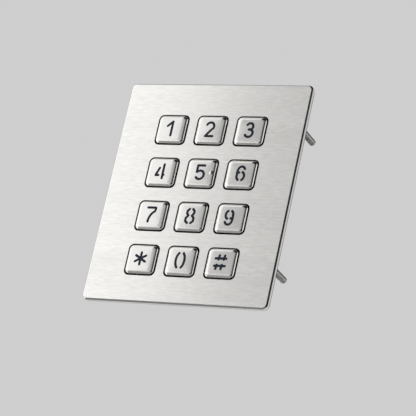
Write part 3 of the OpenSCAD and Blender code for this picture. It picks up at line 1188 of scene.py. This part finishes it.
def make_header():
    """Pin strip: one notched block per pin, and square pins with tapered ends."""
    notch = 0.4 * MM
    block = size("header_body")
    at = centre("header_body")
    low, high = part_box("header_body")
    pitch = block.x / PIN_COUNT

    def outline(grow=0.0):
        half = block.z / 2 + grow
        points = []
        for way in (-1, 1):
            for k in range(PIN_COUNT):
                left = low[0] + pitch * (k if way < 0 else PIN_COUNT - k - 1)
                xs = (left, left + notch, left + pitch - notch, left + pitch)
                zs = (half - notch, half, half, half - notch)
                part = [(x, at.z + way * z) for x, z in zip(xs, zs)]
                points += part[:3] if way < 0 else part[::-1][:3]
            end = low[0] + block.x if way < 0 else low[0]
            points.append((end, at.z + way * (half - notch)))
        return points

    bm = bmesh.new()
    edge = 0.08 * MM
    levels = ((0, low[1]), (0, high[1] - edge), (-edge, high[1]))
    rings = [ring(bm, outline(grow), y) for grow, y in levels]
    tube(bm, rings)
    bm.faces.new(rings[0])
    bm.faces.new(rings[-1])
    finish_piece(new_object("header_block", bm), "panel", [MOULDED], ["header_body"])

    bm = bmesh.new()
    low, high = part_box("header_pins")
    half = PIN_SIDE / 2
    tip = 0.14 * MM
    taper = 0.5 * MM
    for x, z in pin_places():
        rings = []
        for side, y in ((tip, low[1]), (half, low[1] + taper), (half, high[1] - taper), (tip, high[1])):
            square = [(x - side, z - side), (x + side, z - side), (x + side, z + side), (x - side, z + side)]
            rings.append(ring(bm, square, y))
        tube(bm, rings)
        bm.faces.new(rings[0])
        bm.faces.new(rings[-1])
    finish_piece(new_object("header_posts", bm), "panel", [GOLD], ["header_pins"])


make_guide_frame()
make_board()
make_board_details()
make_diodes()
make_header()

# ---------------------------------------------------------------- carried-over CAD nodes


def dress(node, finish):
    for material_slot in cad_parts[node].material_slots:
        material_slot.material = finish


dress("contact_pads", GOLD)
for key in KEYS:
    dress("pill_" + key, CARBON)

# ---------------------------------------------------------------- stage, light and camera


def make_floor():
    bm = bmesh.new()
    half = 0.9
    depth = -0.8
    corners = [(-half, -half), (half, -half), (half, half), (-half, half)]
    bm.faces.new([bm.verts.new((x, y, depth)) for x, y in corners])
    floor = new_object("floor", bm)
    f = Finish("pale_floor", 0.0, 0.8)
    f.colour(f.ramp(f.noise(3, 2), grey(0.78), grey(0.82)))
    floor.data.materials.append(f.material)


# How bright the studio is at each bearing, in degrees from straight ahead of the faceplate towards
# its right-hand side, and by how much that is multiplied at each height of the view (its unit Z)
STUDIO = [
    (-180, 0.55), (-135, 0.60), (-118, 0.90), (-90, 1.20), (-60, 0.80), (-42, 0.66), (-12, 0.66),
    (4, 0.68), (12, 0.66), (22, 0.52), (32, 0.33), (40, 0.12), (46, 0.03), (60, 0.02), (66, 0.03),
    (72, 1.1), (79, 1.4), (100, 1.15), (125, 0.8), (152, 0.72), (180, 0.55),
]
HEIGHTS = [
    (-1.0, 1.0), (-0.65, 1.7), (-0.45, 1.5), (-0.3, 1.12), (0.12, 1.06), (0.34, 1.0), (0.6, 0.86),
    (0.9, 0.86), (1.0, 0.8),
]
# Black cards that darken the right-hand corners of the keys: the way to each one, and how many
# degrees from its middle it stays black and where it ends
CARDS = [((0.20, -0.28, 0.94), 27, 37), ((0.50, -0.60, -0.62), 20, 34)]
CARD_LEVEL = 0.02
BACKDROP = 0.62

# Where the camera is, in degrees
CAMERA_AZIMUTH = 28.218
CAMERA_ELEVATION = -20.285
CAMERA_ROLL = 12.64


def make_world():
    """A soft white studio with a dark gap to the front right, black cards and a plain pale backdrop."""
    world = bpy.data.worlds.new("studio")
    bpy.context.scene.world = world
    world.use_nodes = True
    tree = world.node_tree

    def math(operation, *inputs):
        node = tree.nodes.new("ShaderNodeMath")
        node.operation = operation
        for socket, value in zip(node.inputs, inputs):
            if isinstance(value, (int, float)):
                socket.default_value = value
            else:
                tree.links.new(value, socket)
        return node.outputs[0]

    def levels(source, table, start, span):
        """Looks a source up in a table of (place, level)."""
        node = tree.nodes.new("ShaderNodeValToRGB")
        tree.links.new(math("MULTIPLY_ADD", source, 1 / span, -start / span), node.inputs["Fac"])
        stops = node.color_ramp.elements
        stops.remove(stops[-1])
        most = max(level for _, level in table)
        for k, (place, level) in enumerate(table):
            stop = stops[0] if k == 0 else stops.new((place - start) / span)
            stop.position = (place - start) / span
            stop.color = grey(level / most)
        return math("MULTIPLY", node.outputs["Color"], most)

    direction = tree.nodes.new("ShaderNodeTexCoord").outputs["Generated"]
    split = tree.nodes.new("ShaderNodeSeparateXYZ")
    tree.links.new(direction, split.inputs[0])
    x, y, z = split.outputs
    bearing = math("DEGREES", math("ARCTAN2", x, math("MULTIPLY", y, -1.0)))
    level = math("MULTIPLY", levels(bearing, STUDIO, -180, 360), levels(z, HEIGHTS, -1, 2))
    for way, black_to, ends_at in CARDS:
        dot = tree.nodes.new("ShaderNodeVectorMath")
        dot.operation = "DOT_PRODUCT"
        tree.links.new(direction, dot.inputs[0])
        dot.inputs[1].default_value = Vector(way).normalized()
        clear = tree.nodes.new("ShaderNodeMapRange")
        clear.interpolation_type = "SMOOTHSTEP"
        tree.links.new(dot.outputs["Value"], clear.inputs["Value"])
        clear.inputs["From Min"].default_value = cos(radians(ends_at))
        clear.inputs["From Max"].default_value = cos(radians(black_to))
        clear.inputs["To Min"].default_value = 1.0
        clear.inputs["To Max"].default_value = CARD_LEVEL
        level = math("MULTIPLY", level, clear.outputs["Result"])
    seen = tree.nodes.new("ShaderNodeLightPath").outputs["Is Camera Ray"]
    mix = tree.nodes.new("ShaderNodeMix")
    tree.links.new(seen, mix.inputs["Factor"])
    tree.links.new(level, mix.inputs["A"])
    mix.inputs["B"].default_value = BACKDROP
    tree.links.new(mix.outputs["Result"], tree.nodes["Background"].inputs["Color"])


def camera_way():
    """Unit vector from the object towards the camera."""
    azimuth = radians(CAMERA_AZIMUTH)
    elevation = radians(CAMERA_ELEVATION)
    return Vector((sin(azimuth) * cos(elevation), -cos(azimuth) * cos(elevation), sin(elevation)))


def make_panel_light():
    """A large soft panel close to the left, square to the way the faceplate reflects the camera.

    Its right-hand edge falls across the middle of the reflection, so the steel dims to the right.
    """
    mirror_way = camera_way()
    mirror_way.x *= -1
    mirror_way.z *= -1
    leftwards = Vector((mirror_way.y, -mirror_way.x, 0)).normalized()
    side = 0.5
    distance = 0.25
    lamp = bpy.data.lights.new("panel_light", "AREA")
    lamp.size = side
    lamp.energy = 0.54
    obj = bpy.data.objects.new("panel_light", lamp)
    bpy.context.scene.collection.objects.link(obj)
    obj.location = mirror_way * distance + leftwards * side / 2
    obj.rotation_mode = "QUATERNION"
    obj.rotation_quaternion = (-mirror_way).to_track_quat("-Z", "Y")
    obj.visible_camera = False


def make_camera():
    azimuth = radians(CAMERA_AZIMUTH)
    roll = radians(CAMERA_ROLL)
    target = Vector((6.75, plate_front / MM, -7.15)) * MM
    distance = 963 * MM
    back = camera_way()
    level = Vector((cos(azimuth), sin(azimuth), 0))
    right = level * cos(roll) + back.cross(level) * sin(roll)
    data = bpy.data.cameras.new("camera")
    data.lens = 199.04
    data.sensor_width = 36
    camera = bpy.data.objects.new("camera", data)
    bpy.context.scene.collection.objects.link(camera)
    turn = Matrix((right, back.cross(right), back)).transposed()
    camera.matrix_world = Matrix.Translation(target + back * distance) @ turn.to_4x4()
    data.clip_start = 0.05
    data.clip_end = 20
    bpy.context.scene.camera = camera


make_floor()
make_world()
make_panel_light()
make_camera()
bpy.context.scene.view_settings.view_transform = "Standard"
